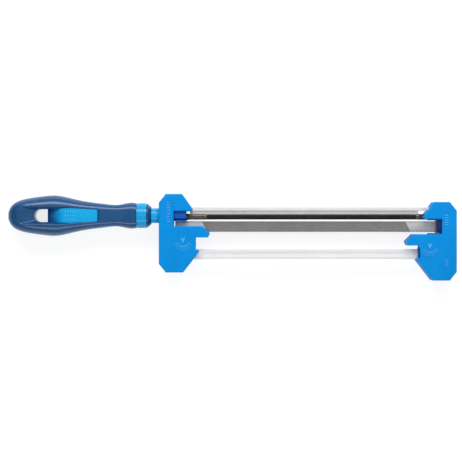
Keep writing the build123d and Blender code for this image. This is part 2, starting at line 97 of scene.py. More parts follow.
class Side(Enum):
    """The two working faces of the tool, with the way each one looks along z."""

    FRONT = 1
    BACK = -1

    @property
    def label(self) -> str:
        """The word that node names use for this face."""
        return self.name.lower()


# Node trees


class Sheet:
    """A node tree with short ways to add, set and join nodes."""

    def __init__(self, tree: bpy.types.NodeTree) -> None:
        """Wraps a tree.

        Args:
            tree: the shader or geometry tree to build in.
        """
        self.tree = tree

    def add(self, kind: str, **settings: object) -> bpy.types.Node:
        """Adds a node and sets its plain properties.

        Args:
            kind: the node's type name.
            **settings: properties by name.

        Returns:
            The new node.
        """
        node = self.tree.nodes.new(kind)
        for key, value in settings.items():
            setattr(node, key, value)
        return node

    def feed(self, value: object, socket: bpy.types.NodeSocket) -> None:
        """Joins an output to a socket, or sets the socket to a plain value.

        Args:
            value: an output socket or a plain value.
            socket: the input to feed.
        """
        if isinstance(value, bpy.types.NodeSocket):
            self.tree.links.new(value, socket)
        else:
            socket.default_value = value

    def math(self, operation: str, *values: object, clamp: bool = False) -> bpy.types.NodeSocket:
        """Adds one arithmetic step.

        Args:
            operation: the Math node's operation.
            *values: its operands, sockets or numbers.
            clamp: keeps the result between 0 and 1.

        Returns:
            The result.
        """
        node = self.add("ShaderNodeMath", operation=operation, use_clamp=clamp)
        for value, socket in zip(values, node.inputs):
            self.feed(value, socket)
        return node.outputs[0]

    def remap(
        self, value: object, low: float, high: float, to_low: float, to_high: float,
    ) -> bpy.types.NodeSocket:
        """Maps a value from one range to another, clamped.

        Args:
            value: the output to map.
            low: start of the range that it has.
            high: end of the range that it has.
            to_low: start of the range that it gets.
            to_high: end of the range that it gets.

        Returns:
            The mapped output.
        """
        node = self.add("ShaderNodeMapRange")
        for value_in, socket in zip((value, low, high, to_low, to_high), node.inputs):
            self.feed(value_in, socket)
        return node.outputs[0]

    def mix(self, amount: object, first: object, second: object) -> bpy.types.NodeSocket:
        """Mixes two colours.

        Args:
            amount: how much of the second there is.
            first: a colour or an output.
            second: a colour or an output.

        Returns:
            The mixed colour.
        """
        node = self.add("ShaderNodeMix", data_type="RGBA")
        colours = [s for s in node.inputs if s.type == "RGBA"]
        self.feed(amount, node.inputs[0])
        for colour, socket in zip((first, second), colours):
            self.feed((*colour, 1.0) if isinstance(colour, tuple) else colour, socket)
        return next(s for s in node.outputs if s.type == "RGBA")


    def place(self) -> bpy.types.NodeSocket:
        """Where on the piece a point is, for a material's patterns."""
        return self.add("ShaderNodeTexCoord").outputs["Object"]

    def split(self, vector: bpy.types.NodeSocket) -> bpy.types.NodeOutputs:
        """Takes a vector apart.

        Args:
            vector: the vector.

        Returns:
            Its outputs X, Y and Z.
        """
        node = self.add("ShaderNodeSeparateXYZ")
        self.feed(vector, node.inputs[0])
        return node.outputs

    def vector(self, x: object = 0.0, y: object = 0.0, z: object = 0.0) -> bpy.types.NodeSocket:
        """Puts a vector together.

        Args:
            x: its first part, a number or an output.
            y: its second part.
            z: its third part.

        Returns:
            The vector.
        """
        node = self.add("ShaderNodeCombineXYZ")
        for value, socket in zip((x, y, z), node.inputs):
            self.feed(value, socket)
        return node.outputs[0]

    def noise(self, place: object, scale: object, detail: float) -> bpy.types.NodeSocket:
        """Adds a noise pattern.

        Args:
            place: where the pattern is read.
            scale: its scale, a number or an output.
            detail: its finer layers.

        Returns:
            The pattern, about 0.5.
        """
        node = self.add("ShaderNodeTexNoise")
        for value, name in ((place, "Vector"), (scale, "Scale"), (detail, "Detail")):
            self.feed(value, node.inputs[name])
        return node.outputs["Fac"]


def add_inputs(tree: bpy.types.NodeTree, kind: str, values: dict[str, float]) -> None:
    """Gives a tree named inputs.

    Args:
        tree: the tree.
        kind: the sockets' type, Float or Int.
        values: input names with their usual values.
    """
    for label, value in values.items():
        socket = tree.interface.new_socket(
            name=label, in_out="INPUT", socket_type="NodeSocket" + kind,
        )
        socket.default_value = value


def new_group(name: str, inputs: dict[str, float], outputs: tuple[str, ...]) -> Sheet:
    """Starts a shader node group with number sockets.

    Args:
        name: the group's name.
        inputs: input names with their usual values.
        outputs: output names.

    Returns:
        The sheet, whose tree has one input and one output node.
    """
    tree = bpy.data.node_groups.new(name, "ShaderNodeTree")
    add_inputs(tree, "Float", inputs)
    for label in outputs:
        tree.interface.new_socket(name=label, in_out="OUTPUT", socket_type="NodeSocketFloat")
    return Sheet(tree)


def grain_group() -> bpy.types.NodeTree:
    """Fine moulded grain with broad, faint cloudiness.

    Returns:
        The group, with outputs Height and Patches.
    """
    if "moulded_grain" in bpy.data.node_groups:
        return bpy.data.node_groups["moulded_grain"]
    sheet = new_group("moulded_grain", {"Grain": 2500.0, "Patch": 60.0}, ("Height", "Patches"))
    inlet = sheet.add("NodeGroupInput")
    outlet = sheet.add("NodeGroupOutput")
    place = sheet.place()
    fine = sheet.noise(place, inlet.outputs["Grain"], 3.0)
    broad = sheet.noise(place, inlet.outputs["Patch"], 5.0)
    sheet.feed(fine, outlet.inputs["Height"])
    sheet.feed(sheet.remap(broad, 0.35, 0.65, 0.0, 1.0), outlet.inputs["Patches"])
    return sheet.tree


def edge_group() -> bpy.types.NodeTree:
    """A mask of rubbed corners, broken up by noise.

    Returns:
        The group, with output Mask.
    """
    if "rubbed_edges" in bpy.data.node_groups:
        return bpy.data.node_groups["rubbed_edges"]
    sheet = new_group("rubbed_edges", {"Radius": 0.0006, "Breakup": 900.0}, ("Mask",))
    inlet = sheet.add("NodeGroupInput")
    outlet = sheet.add("NodeGroupOutput")
    rounded = sheet.add("ShaderNodeBevel", samples=4)
    sheet.feed(inlet.outputs["Radius"], rounded.inputs["Radius"])
    true_normal = sheet.add("ShaderNodeNewGeometry").outputs["Normal"]
    dot = sheet.add("ShaderNodeVectorMath", operation="DOT_PRODUCT")
    sheet.feed(rounded.outputs["Normal"], dot.inputs[0])
    sheet.feed(true_normal, dot.inputs[1])
    corner = sheet.remap(dot.outputs["Value"], 0.985, 0.86, 0.0, 1.0)
    noise = sheet.noise(sheet.place(), inlet.outputs["Breakup"], 4.0)
    broken = sheet.remap(noise, 0.35, 0.62, 0.15, 1.0)
    sheet.feed(sheet.math("MULTIPLY", corner, broken), outlet.inputs["Mask"])
    return sheet.tree


def drawn_group() -> bpy.types.NodeTree:
    """Streaks that run along x, as drawing or grinding leaves them.

    Returns:
        The group, with outputs Height and Streaks.
    """
    if "drawn_streaks" in bpy.data.node_groups:
        return bpy.data.node_groups["drawn_streaks"]
    sheet = new_group("drawn_streaks", {"Along": 12.0, "Across": 1800.0}, ("Height", "Streaks"))
    inlet = sheet.add("NodeGroupInput")
    outlet = sheet.add("NodeGroupOutput")
    place = sheet.split(sheet.place())
    stretched = [
        sheet.math("MULTIPLY", place[axis], inlet.outputs[scale])
        for axis, scale in (("X", "Along"), ("Y", "Across"), ("Z", "Across"))
    ]
    noise = sheet.noise(sheet.vector(*stretched), 1.0, 4.0)
    sheet.feed(noise, outlet.inputs["Height"])
    sheet.feed(sheet.remap(noise, 0.3, 0.7, 0.0, 1.0), outlet.inputs["Streaks"])
    return sheet.tree


def place_group(sheet: Sheet, tree: bpy.types.NodeTree, **values: float) -> bpy.types.Node:
    """Puts a shared effect into a material.

    Args:
        sheet: the material's sheet.
        tree: the shared group.
        **values: the group's inputs by name.

    Returns:
        The group node.
    """
    node = sheet.add("ShaderNodeGroup", node_tree=tree)
    for name, value in values.items():
        node.inputs[name].default_value = value
    return node


def open_material(name: str) -> tuple[bpy.types.Material, Sheet, bpy.types.Node]:
    """Starts a material with a shader and an output.

    Args:
        name: the finish's name.

    Returns:
        The material, its sheet and its shader node.
    """
    material = bpy.data.materials.new(name)
    material.use_nodes = True
    material.node_tree.nodes.clear()
    sheet = Sheet(material.node_tree)
    shader = sheet.add("ShaderNodeBsdfPrincipled")
    output = sheet.add("ShaderNodeOutputMaterial")
    sheet.feed(shader.outputs[0], output.inputs["Surface"])
    return material, sheet, shader


def bumped(sheet: Sheet, height: bpy.types.NodeSocket, depth: float) -> bpy.types.NodeSocket:
    """A normal that follows a height.

    Args:
        sheet: the material's sheet.
        height: the height to follow, from 0 to 1.
        depth: how deep that is, in metres.

    Returns:
        The normal.
    """
    bump = sheet.add("ShaderNodeBump")
    bump.inputs["Distance"].default_value = depth
    sheet.feed(height, bump.inputs["Height"])
    return bump.outputs["Normal"]


@dataclass(frozen=True)
class PlasticFinish:
    """A moulded plastic: grain, faint cloudiness and rubbed, paler edges. With fade and deep set,
    it also gets painted shade: darker towards low x.
    """

    name: str
    colour: Colour
    cloud: Colour
    edge: Colour
    roughness: float
    spread: float
    grain: float
    depth: float
    rub: float
    coat: float = 0.0
    specular: float = 0.5
    coat_roughness: float = 0.12
    # fade and deep paint shade in: the x span over which the colour darkens, and the painted shade
    # colour at its low end
    fade: tuple[float, float] | None = None
    deep: Colour = (0.0, 0.0, 0.0)

    def build(self) -> bpy.types.Material:
        """Makes the material, once.

        Returns:
            The material.
        """
        if self.name in bpy.data.materials:
            return bpy.data.materials[self.name]
        material, sheet, shader = open_material(self.name)
        grain = place_group(sheet, grain_group(), Grain=self.grain, Patch=70.0)
        edges = place_group(sheet, edge_group(), Radius=0.0006, Breakup=900.0)
        patches = grain.outputs["Patches"]
        rubbed = sheet.math("MULTIPLY", edges.outputs["Mask"], self.rub)
        plain = sheet.mix(patches, self.colour, self.cloud)
        # painted shade: the colour darkens into deep towards the low-x end of fade, standing in for
        # the shade inside a hollow
        if self.fade:
            along = sheet.split(sheet.place())["X"]
            amount = sheet.remap(along, *self.fade, 0.0, 1.0)
            plain = sheet.mix(amount, self.deep, plain)
        sheet.feed(sheet.mix(rubbed, plain, self.edge), shader.inputs["Base Color"])
        low, high = self.roughness - self.spread, self.roughness + self.spread
        rough = sheet.remap(patches, 0.0, 1.0, low, high)
        rough = sheet.math("ADD", rough, sheet.math("MULTIPLY", rubbed, 0.12), clamp=True)
        sheet.feed(rough, shader.inputs["Roughness"])
        shader.inputs["Coat Weight"].default_value = self.coat
        shader.inputs["Coat Roughness"].default_value = self.coat_roughness
        shader.inputs["Specular IOR Level"].default_value = self.specular
        normal = bumped(sheet, grain.outputs["Height"], self.depth)
        sheet.feed(normal, shader.inputs["Normal"])
        return material


@dataclass(frozen=True)
class MetalFinish:
    """A metal with streaks along its length and brighter rubbed edges."""

    name: str
    colour: Colour
    streak: Colour
    edge: Colour
    metallic: float
    roughness: float
    spread: float
    along: float
    across: float
    depth: float
    rub: float

    def build(self) -> bpy.types.Material:
        """Makes the material, once.

        Returns:
            The material.
        """
        if self.name in bpy.data.materials:
            return bpy.data.materials[self.name]
        material, sheet, shader = open_material(self.name)
        drawn = place_group(sheet, drawn_group(), Along=self.along, Across=self.across)
        edges = place_group(sheet, edge_group(), Radius=0.0004, Breakup=1500.0)
        grain = place_group(sheet, grain_group(), Grain=4000.0, Patch=45.0)
        streaks = drawn.outputs["Streaks"]
        cloud = sheet.math("MULTIPLY", grain.outputs["Patches"], 0.5)
        amount = sheet.math("MULTIPLY_ADD", streaks, 0.5, cloud)
        rubbed = sheet.math("MULTIPLY", edges.outputs["Mask"], self.rub)
        plain = sheet.mix(amount, self.colour, self.streak)
        sheet.feed(sheet.mix(rubbed, plain, self.edge), shader.inputs["Base Color"])
        shader.inputs["Metallic"].default_value = self.metallic
        low, high = self.roughness - self.spread, self.roughness + self.spread
        sheet.feed(sheet.remap(amount, 0.0, 1.0, low, high), shader.inputs["Roughness"])
        normal = bumped(sheet, drawn.outputs["Height"], self.depth)
        sheet.feed(normal, shader.inputs["Normal"])
        return material


GRIP = PlasticFinish(
    "grip_rubber", (0.001, 0.060, 0.185), (0.002, 0.080, 0.24), (0.03, 0.16, 0.36),
    roughness=0.36, spread=0.05, grain=3200.0, depth=0.00002, rub=0.2, coat=0.6, specular=0.25,
    coat_roughness=0.18,
)
INSERT = PlasticFinish(
    "insert_plastic", (0.0, 0.37, 0.76), (0.0, 0.41, 0.81), (0.12, 0.60, 0.95),
    roughness=0.28, spread=0.04, grain=2200.0, depth=0.00001, rub=0.35, coat=0.25, specular=0.2,
)
INSERT_BARS = replace(
    INSERT, name="insert_bars", colour=(0.04, 0.49, 0.88), cloud=(0.07, 0.53, 0.9),
)
# painted shade: the dark blue that the insert's ramp fades to by the hang hole, where shade falls
# into the hole
RAMP_PAINTED_SHADE: Colour = (0.0, 0.02, 0.22)
COVER = PlasticFinish(
    "cover_plastic", (0.0, 0.265, 0.73), (0.0, 0.295, 0.78), (0.03, 0.40, 0.90),
    roughness=0.46, spread=0.05, grain=2600.0, depth=0.00004, rub=0.4, specular=0.12,
)
# raised marks: a lighter blue than the cover as a painted highlight for the light their crests
# catch, with paler rubbed edges as real wear
MARK_WEAR_AND_HIGHLIGHT = PlasticFinish(
    "cover_marks", (0.05, 0.42, 0.88), (0.07, 0.46, 0.90), (0.30, 0.68, 0.97),
    roughness=0.38, spread=0.05, grain=2600.0, depth=0.00003, rub=0.9, specular=0.4,
)
CORE = PlasticFinish(
    "core_plastic", (0.0, 0.080, 0.40), (0.0, 0.095, 0.45), (0.02, 0.17, 0.60),
    roughness=0.42, spread=0.06, grain=2400.0, depth=0.00004, rub=0.3, specular=0.3,
)
# navy plastic made near black as painted shade: the shoe sits deep in its pocket, where shade falls
NAVY_PAINTED_SHADE = PlasticFinish(
    "navy_plastic", (0.0, 0.012, 0.10), (0.0, 0.018, 0.13), (0.02, 0.10, 0.40),
    roughness=0.42, spread=0.06, grain=2400.0, depth=0.00004, rub=0.3, specular=0.3,
)
# black rubber whose black also stands in as painted shade in the tang and tip sockets
BLACK_AND_SHADE = PlasticFinish(
    "black_plastic", (0.008, 0.008, 0.010), (0.015, 0.015, 0.017), (0.07, 0.07, 0.075),
    roughness=0.45, spread=0.08, grain=2600.0, depth=0.00004, rub=0.35,
)
RAIL = MetalFinish(
    "drawn_rail", (0.95, 0.953, 0.957), (0.85, 0.853, 0.86), (0.98, 0.98, 0.98), metallic=0.15,
    roughness=0.36, spread=0.07, along=10.0, across=2200.0, depth=0.000012, rub=0.5,
)
ROUND_CUT = MetalFinish(
    "round_file_cut", (0.010, 0.010, 0.010), (0.03, 0.029, 0.028), (0.22, 0.21, 0.20), metallic=0.9,
    roughness=0.36, spread=0.08, along=300.0, across=1500.0, depth=0.00002, rub=0.15,
)
ROUND_SHANK = MetalFinish(
    "round_file_shank", (0.12, 0.10, 0.08), (0.08, 0.068, 0.055), (0.40, 0.36, 0.32), metallic=0.9,
    roughness=0.30, spread=0.08, along=900.0, across=60.0, depth=0.00001, rub=0.4,
)
FLAT_CUT = MetalFinish(
    "flat_file_cut", (0.34, 0.34, 0.335), (0.25, 0.25, 0.247), (0.66, 0.66, 0.65), metallic=0.7,
    roughness=0.42, spread=0.08, along=250.0, across=900.0, depth=0.00003, rub=0.45,
)
FLAT_END = MetalFinish(
    "flat_file_ground", (0.74, 0.745, 0.74), (0.55, 0.55, 0.53), (0.92, 0.92, 0.9), metallic=0.4,
    roughness=0.32, spread=0.10, along=700.0, across=700.0, depth=0.00002, rub=0.5,
)
ZINC = MetalFinish(
    "zinc_steel", (0.62, 0.63, 0.65), (0.48, 0.49, 0.52), (0.88, 0.88, 0.9), metallic=1.0,
    roughness=0.33, spread=0.09, along=500.0, across=500.0, depth=0.00001, rub=0.5,
)
SPRING = MetalFinish(
    "spring_wire", (0.55, 0.55, 0.56), (0.4, 0.4, 0.42), (0.85, 0.85, 0.86), metallic=1.0,
    roughness=0.28, spread=0.06, along=900.0, across=900.0, depth=0.00001, rub=0.4,
)
Finish = PlasticFinish | MetalFinish


# Meshes


def add_object(name: str, mesh: bpy.types.Mesh) -> bpy.types.Object:
    """Links a mesh into the scene at the origin.

    Args:
        name: the piece's name.
        mesh: its mesh.

    Returns:
        The object.
    """
    piece = bpy.data.objects.new(name, mesh)
    bpy.context.scene.collection.objects.link(piece)
    return piece


def add_shell(name: str, shell: bmesh.types.BMesh) -> bpy.types.Object:
    """Makes a piece of a closed shell, with its faces pointing outwards.

    Args:
        name: the piece's name.
        shell: the shell, which is used up.

    Returns:
        The piece.
    """
    bmesh.ops.recalc_face_normals(shell, faces=shell.faces)
    mesh = bpy.data.meshes.new(name)
    shell.to_mesh(mesh)
    shell.free()
    return add_object(name, mesh)


def settle(piece: bpy.types.Object) -> None:
    """Turns a piece's modifiers into its plain mesh and takes them off.

    Args:
        piece: the object whose modifiers are done with.
    """
    depsgraph = bpy.context.evaluated_depsgraph_get()
    mesh = bpy.data.meshes.new_from_object(piece.evaluated_get(depsgraph))
    piece.modifiers.clear()
    piece.data = mesh


def soften(mesh: bpy.types.Mesh, angle: float = SMOOTH_ANGLE) -> None:
    """Shades a mesh smooth, except across sharp corners.

    Args:
        mesh: the mesh to shade.
        angle: corners sharper than this stay crisp.
    """
    mesh.shade_smooth()
    mesh.set_sharp_from_angle(angle=angle)


def wear(piece: bpy.types.Object, finish: Finish) -> None:
    """Gives a piece one finish all over.

    Args:
        piece: the object to dress.
        finish: its finish.
    """
    piece.data.materials.clear()
    piece.data.materials.append(finish.build())


def fasten(detail: bpy.types.Object, node: str) -> None:
    """Fixes a detail to the body of the CAD node that it lies on.

    Args:
        detail: the piece to fix.
        node: the CAD node.
    """
    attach(detail, BODY_OF[node])


def merged_copy(node: str) -> bpy.types.Mesh:
    """A joined-up copy of a CAD node's mesh, with flat faces made whole.

    Args:
        node: the CAD node.

    Returns:
        The new mesh.
    """
    shell = bmesh.new()
    shell.from_mesh(frame["nodes"][node].data)
    bmesh.ops.remove_doubles(shell, verts=shell.verts, dist=MERGE_GAP)
    bmesh.ops.dissolve_limit(
        shell, angle_limit=FLAT_ANGLE, verts=shell.verts, edges=shell.edges,
    )
    mesh = bpy.data.meshes.new(node + "_shown")
    shell.to_mesh(mesh)
    shell.free()
    return mesh


def refined(node: str, finish: Finish, edge_round: float) -> bpy.types.Object:
    """A piece with a CAD node's shape, rounded corners and smooth shading.

    Args:
        node: the CAD node that it stands for.
        finish: its finish.
        edge_round: how far its sharp corners are rounded, in metres.

    Returns:
        The piece, riding on the node's body.
    """
    piece = add_object(node + "_shown", merged_copy(node))
    if edge_round > 0.0:
        bevel = piece.modifiers.new("corner", "BEVEL")
        bevel.width = edge_round
        bevel.segments = CORNER_FACES
        bevel.limit_method = "ANGLE"
        bevel.angle_limit = CORNER_ANGLE
        bevel.miter_outer = "MITER_ARC"
        settle(piece)
    soften(piece.data)
    wear(piece, finish)
    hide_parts(node)
    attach(piece, BODY_OF[node])
    return piece


def run_tree(
    name: str, tree: bpy.types.NodeTree, finish: Finish, **values: float,
) -> bpy.types.Object:
    """Runs a geometry tree once and keeps what it makes as a plain mesh.

    Args:
        name: the new piece's name.
        tree: the geometry tree.
        finish: the finish for its Material input.
        **values: its other inputs by name, with _ for a space.

    Returns:
        The piece, with no modifier left.
    """
    piece = add_object(name, bpy.data.meshes.new(name))
    maker = piece.modifiers.new("maker", "NODES")
    maker.node_group = tree
    wanted = {key.replace("_", " "): value for key, value in values.items()}
    wanted["Material"] = finish.build()
    for item in tree.interface.items_tree:
        if item.item_type == "SOCKET" and item.in_out == "INPUT" and item.name in wanted:
            maker[item.identifier] = wanted[item.name]
    settle(piece)
    return piece


def close_up(piece: bpy.types.Object) -> None:
    """Joins a shell's seam, fills its open ends and points its faces outwards.

    Args:
        piece: the object to close.
    """
    shell = bmesh.new()
    shell.from_mesh(piece.data)
    bmesh.ops.remove_doubles(shell, verts=shell.verts, dist=SEAM_GAP)
    rim = [edge for edge in shell.edges if edge.is_boundary]
    bmesh.ops.holes_fill(shell, edges=rim, sides=0)
    bmesh.ops.recalc_face_normals(shell, faces=shell.faces)
    shell.to_mesh(piece.data)
    shell.free()


class GeometryTree(Sheet):
    """A geometry tree with named inputs, ending in real, dressed geometry."""

    def __init__(self, name: str, numbers: dict[str, float], counts: dict[str, int]) -> None:
        """Starts the tree.

        Args:
            name: the tree's name.
            numbers: its number inputs with usual values.
            counts: its whole-number inputs with usual values.
        """
        super().__init__(bpy.data.node_groups.new(name, "GeometryNodeTree"))
        add_inputs(self.tree, "Float", numbers)
        add_inputs(self.tree, "Int", counts)
        face = self.tree.interface
        face.new_socket(name="Material", in_out="INPUT", socket_type="NodeSocketMaterial")
        face.new_socket(name="Geometry", in_out="OUTPUT", socket_type="NodeSocketGeometry")
        self.inlet = self.add("NodeGroupInput")
        self.outlet = self.add("NodeGroupOutput")

    def given(self, name: str) -> bpy.types.NodeSocket:
        """The value of a named input."""
        return self.inlet.outputs[name]

    def position(self) -> bpy.types.NodeSocket:
        """Each point's place."""
        return self.add("GeometryNodeInputPosition").outputs[0]

    def gaps(self) -> bpy.types.NodeSocket:
        """How many gaps a row of Count has."""
        return self.math("SUBTRACT", self.given("Count"), 1.0)

    def bar(self, x: str, y: str, z: str) -> bpy.types.NodeSocket:
        """A block whose three sizes are named inputs.

        Args:
            x: the input for its size along x.
            y: the input for its size along y.
            z: the input for its size along z.

        Returns:
            The block.
        """
        node = self.add("GeometryNodeMeshCube")
        size = self.vector(self.given(x), self.given(y), self.given(z))
        self.feed(size, node.inputs["Size"])
        return node.outputs["Mesh"]

    def moved(self, mesh: object, **where: object) -> bpy.types.NodeSocket:
        """Moves a mesh's points.

        Args:
            mesh: the mesh to move.
            **where: Position, or Offset, with its vector.

        Returns:
            The moved mesh.
        """
        node = self.add("GeometryNodeSetPosition")
        self.feed(mesh, node.inputs["Geometry"])
        for name, vector in where.items():
            self.feed(vector, node.inputs[name])
        return node.outputs[0]

    def outwards(self) -> bpy.types.NodeSocket:
        """A turn about z that points x away from the origin.

        Returns:
            The turn, for each point.
        """
        facing = self.add("FunctionNodeAlignRotationToVector", axis="X", pivot_axis="Z")
        self.feed(self.position(), facing.inputs["Vector"])
        return facing.outputs[0]

    def repeated(
        self, points: bpy.types.NodeSocket, shape: bpy.types.NodeSocket, turn: object = None,
    ) -> bpy.types.NodeTree:
        """Puts a shape on every point and ends the tree.

        Args:
            points: the points.
            shape: the shape to repeat.
            turn: how it is turned on each of them.

        Returns:
            The finished tree.
        """
        placed = self.add("GeometryNodeInstanceOnPoints")
        self.feed(points, placed.inputs["Points"])
        self.feed(shape, placed.inputs["Instance"])
        if turn is not None:
            self.feed(turn, placed.inputs["Rotation"])
        return self.close(placed.outputs[0])

    def close(self, geometry: bpy.types.NodeSocket) -> bpy.types.NodeTree:
        """Ends the tree.

        Args:
            geometry: what it makes.

        Returns:
            The finished tree.
        """
        real = self.add("GeometryNodeRealizeInstances")
        dressed = self.add("GeometryNodeSetMaterial")
        self.feed(geometry, real.inputs["Geometry"])
        self.feed(real.outputs[0], dressed.inputs["Geometry"])
        self.feed(self.given("Material"), dressed.inputs["Material"])
        self.feed(dressed.outputs[0], self.outlet.inputs["Geometry"])
        return self.tree


def spiral_cut_tree() -> bpy.types.NodeTree:
    """A round file's cut stretch: a bar with saw-shaped teeth on a many-start spiral.

    Returns:
        The tree, along x about the origin.
    """
    numbers = {"Length": 0.19, "Radius": 0.0026, "Pitch": 0.001, "Depth": 0.0002, "Starts": 6.0}
    tree = GeometryTree("spiral_cut", numbers, {"Rings": 760, "Sides": 32})
    grid = tree.add("GeometryNodeMeshGrid")
    tree.feed(tree.given("Length"), grid.inputs["Size X"])
    tree.feed(1.0, grid.inputs["Size Y"])
    tree.feed(tree.given("Rings"), grid.inputs["Vertices X"])
    tree.feed(tree.given("Sides"), grid.inputs["Vertices Y"])
    place = tree.split(tree.position())
    along, turn = place["X"], place["Y"]
    steps = tree.math("DIVIDE", along, tree.given("Pitch"))
    phase = tree.math("MULTIPLY_ADD", turn, tree.given("Starts"), steps)
    bite = tree.math("MULTIPLY", tree.math("FRACT", phase), tree.given("Depth"))
    radius = tree.math("SUBTRACT", tree.given("Radius"), bite)
    angle = tree.math("MULTIPLY", turn, math.tau)
    side = tree.math("MULTIPLY", radius, tree.math("SINE", angle))
    height = tree.math("MULTIPLY", radius, tree.math("COSINE", angle))
    rolled = tree.moved(grid.outputs["Mesh"], Position=tree.vector(along, side, height))
    return tree.close(rolled)


def ridge_tree() -> bpy.types.NodeTree:
    """A flat file's cut: slanting ridges in a row along x, on the upper face.

    Returns:
        The tree, with its row centred on the origin.
    """
    numbers = {
        "Pitch": 0.0009, "Width": 0.0096, "Slant": -0.48,
        "Ridge": 0.0005, "Height": 0.00022, "Level": 0.0023,
    }
    tree = GeometryTree("cut_ridges", numbers, {"Count": 200})
    row = tree.add("GeometryNodeMeshLine")
    tree.feed(tree.given("Count"), row.inputs["Count"])
    long = tree.math("MULTIPLY", tree.gaps(), tree.given("Pitch"))
    half = tree.math("MULTIPLY", long, -0.5)
    tree.feed(tree.vector(half, 0.0, tree.given("Level")), row.inputs["Start Location"])
    tree.feed(tree.vector(tree.given("Pitch")), row.inputs["Offset"])
    place = tree.split(tree.position())
    crest = tree.math("GREATER_THAN", place["Z"], 0.0)
    lean = tree.math("MULTIPLY", crest, tree.math("MULTIPLY", place["X"], CREST_DRAW))
    shift = tree.math("MULTIPLY_ADD", place["Y"], tree.given("Slant"), lean)
    ridge = tree.moved(tree.bar("Ridge", "Width", "Height"), Offset=tree.vector(shift))
    return tree.repeated(row.outputs["Mesh"], ridge)


def ribs_tree() -> bpy.types.NodeTree:
    """Ribs that stand in a circle round z.

    Returns:
        The tree, centred on the origin.
    """
    numbers = {"Radius": 0.011, "Length": 0.008, "Width": 0.001, "Height": 0.0006}
    tree = GeometryTree("standing_ribs", numbers, {"Count": 32})
    circle = tree.add("GeometryNodeMeshCircle")
    tree.feed(tree.given("Count"), circle.inputs["Vertices"])
    tree.feed(tree.given("Radius"), circle.inputs["Radius"])
    rib = tree.bar("Height", "Width", "Length")
    return tree.repeated(circle.outputs["Mesh"], rib, tree.outwards())


def ticks_tree() -> bpy.types.NodeTree:
    """A row of raised ticks down y.

    Returns:
        The tree, with its first tick at the origin.
    """
    numbers = {"Pitch": 0.0022, "Long": 0.0028, "Thick": 0.0006, "Height": 0.0005}
    tree = GeometryTree("raised_ticks", numbers, {"Count": 9})
    row = tree.add("GeometryNodeMeshLine")
    tree.feed(tree.given("Count"), row.inputs["Count"])
    down = tree.math("MULTIPLY", tree.given("Pitch"), -1.0)
    tree.feed(tree.vector(0.0, down), row.inputs["Offset"])
    return tree.repeated(row.outputs["Mesh"], tree.bar("Long", "Thick", "Height"))


def arc_tree() -> bpy.types.NodeTree:
    """Ticks that fan out on an arc about z, as an angle scale has them.

    Returns:
        The tree, with the arc's centre at the origin.
    """
    numbers = {
        "Radius": 0.0075, "Long": 0.0018, "Thick": 0.0005, "Height": 0.001,
        "Start": -2.6, "Sweep": 2.1,
    }
    tree = GeometryTree("angle_scale", numbers, {"Count": 9})
    row = tree.add("GeometryNodeMeshLine")
    tree.feed(tree.given("Count"), row.inputs["Count"])
    share = tree.math("DIVIDE", tree.add("GeometryNodeInputIndex").outputs[0], tree.gaps())
    angle = tree.math("MULTIPLY_ADD", share, tree.given("Sweep"), tree.given("Start"))
    across = tree.math("MULTIPLY", tree.math("COSINE", angle), tree.given("Radius"))
    up = tree.math("MULTIPLY", tree.math("SINE", angle), tree.given("Radius"))
    curved = tree.moved(row.outputs["Mesh"], Position=tree.vector(across, up))
    return tree.repeated(curved, tree.bar("Long", "Thick", "Height"), tree.outwards())


def grid_tree() -> bpy.types.NodeTree:
    """Short raised bars in a grid on the level, as a grip patch has them.

    Returns:
        The tree, centred on the origin.
    """
    numbers = {
        "Wide": 0.009, "Tall": 0.0065, "Long": 0.0009, "Thick": 0.0016, "Height": 0.0006,
    }
    tree = GeometryTree("bar_patch", numbers, {"Columns": 5, "Rows": 3})
    grid = tree.add("GeometryNodeMeshGrid")
    for name, socket in (
        ("Wide", "Size X"), ("Tall", "Size Y"), ("Columns", "Vertices X"), ("Rows", "Vertices Y"),
    ):
        tree.feed(tree.given(name), grid.inputs[socket])
    return tree.repeated(grid.outputs["Mesh"], tree.bar("Long", "Thick", "Height"))


def lathe(
    name: str, profile: list[tuple[float, float]], centre: Vector, sides: int = 48,
) -> bpy.types.Object:
    """A turned piece round a line along x.

    Args:
        name: the piece's name.
        profile: (x, radius) pairs from one end to the other, in metres.
        centre: a point on the line, of which y and z are used.
        sides: how many faces go round.

    Returns:
        The piece.
    """
    shell = bmesh.new()
    rings = []
    for x, radius in profile:
        turns = [math.tau * k / sides for k in range(sides)]
        ring = [
            shell.verts.new((x, centre.y + radius * math.sin(t), centre.z + radius * math.cos(t)))
            for t in turns
        ]
        rings.append(ring)
    for near, far in zip(rings, rings[1:]):
        for k in range(sides):
            after = (k + 1) % sides
            shell.faces.new((near[k], near[after], far[after], far[k]))
    shell.faces.new(list(reversed(rings[0])))
    shell.faces.new(rings[-1])
    piece = add_shell(name, shell)
    soften(piece.data)
    return piece


def prism(
    name: str, outline: list[tuple[float, float]], centre: Vector, bottom: float, top: float,
) -> bpy.types.Object:
    """A straight-sided block on a flat outline.

    Args:
        name: the piece's name.
        outline: (x, y) corners in order, from the centre.
        centre: what the outline and the heights are measured from.
        bottom: the height of one end face.
        top: the height of the other.

    Returns:
        The piece.
    """
    shell = bmesh.new()
    under, over = (
        [shell.verts.new(centre + Vector((x, y, z))) for x, y in outline] for z in (bottom, top)
    )
    for k in range(len(outline)):
        after = (k + 1) % len(outline)
        shell.faces.new((under[k], under[after], over[after], over[k]))
    shell.faces.new(under)
    shell.faces.new(over)
    return add_shell(name, shell)


# Sub-assemblies


def corners(node: str) -> tuple[Vector, Vector]:
    """A CAD node's lowest and highest corners at rest."""
    low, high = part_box(node)
    return Vector(low), Vector(high)


def squeeze(piece: bpy.types.Object) -> None:
    """Gives a coil a mesh of its own; it is not shortened here.

    Args:
        piece: the coil.
    """
    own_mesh(piece)


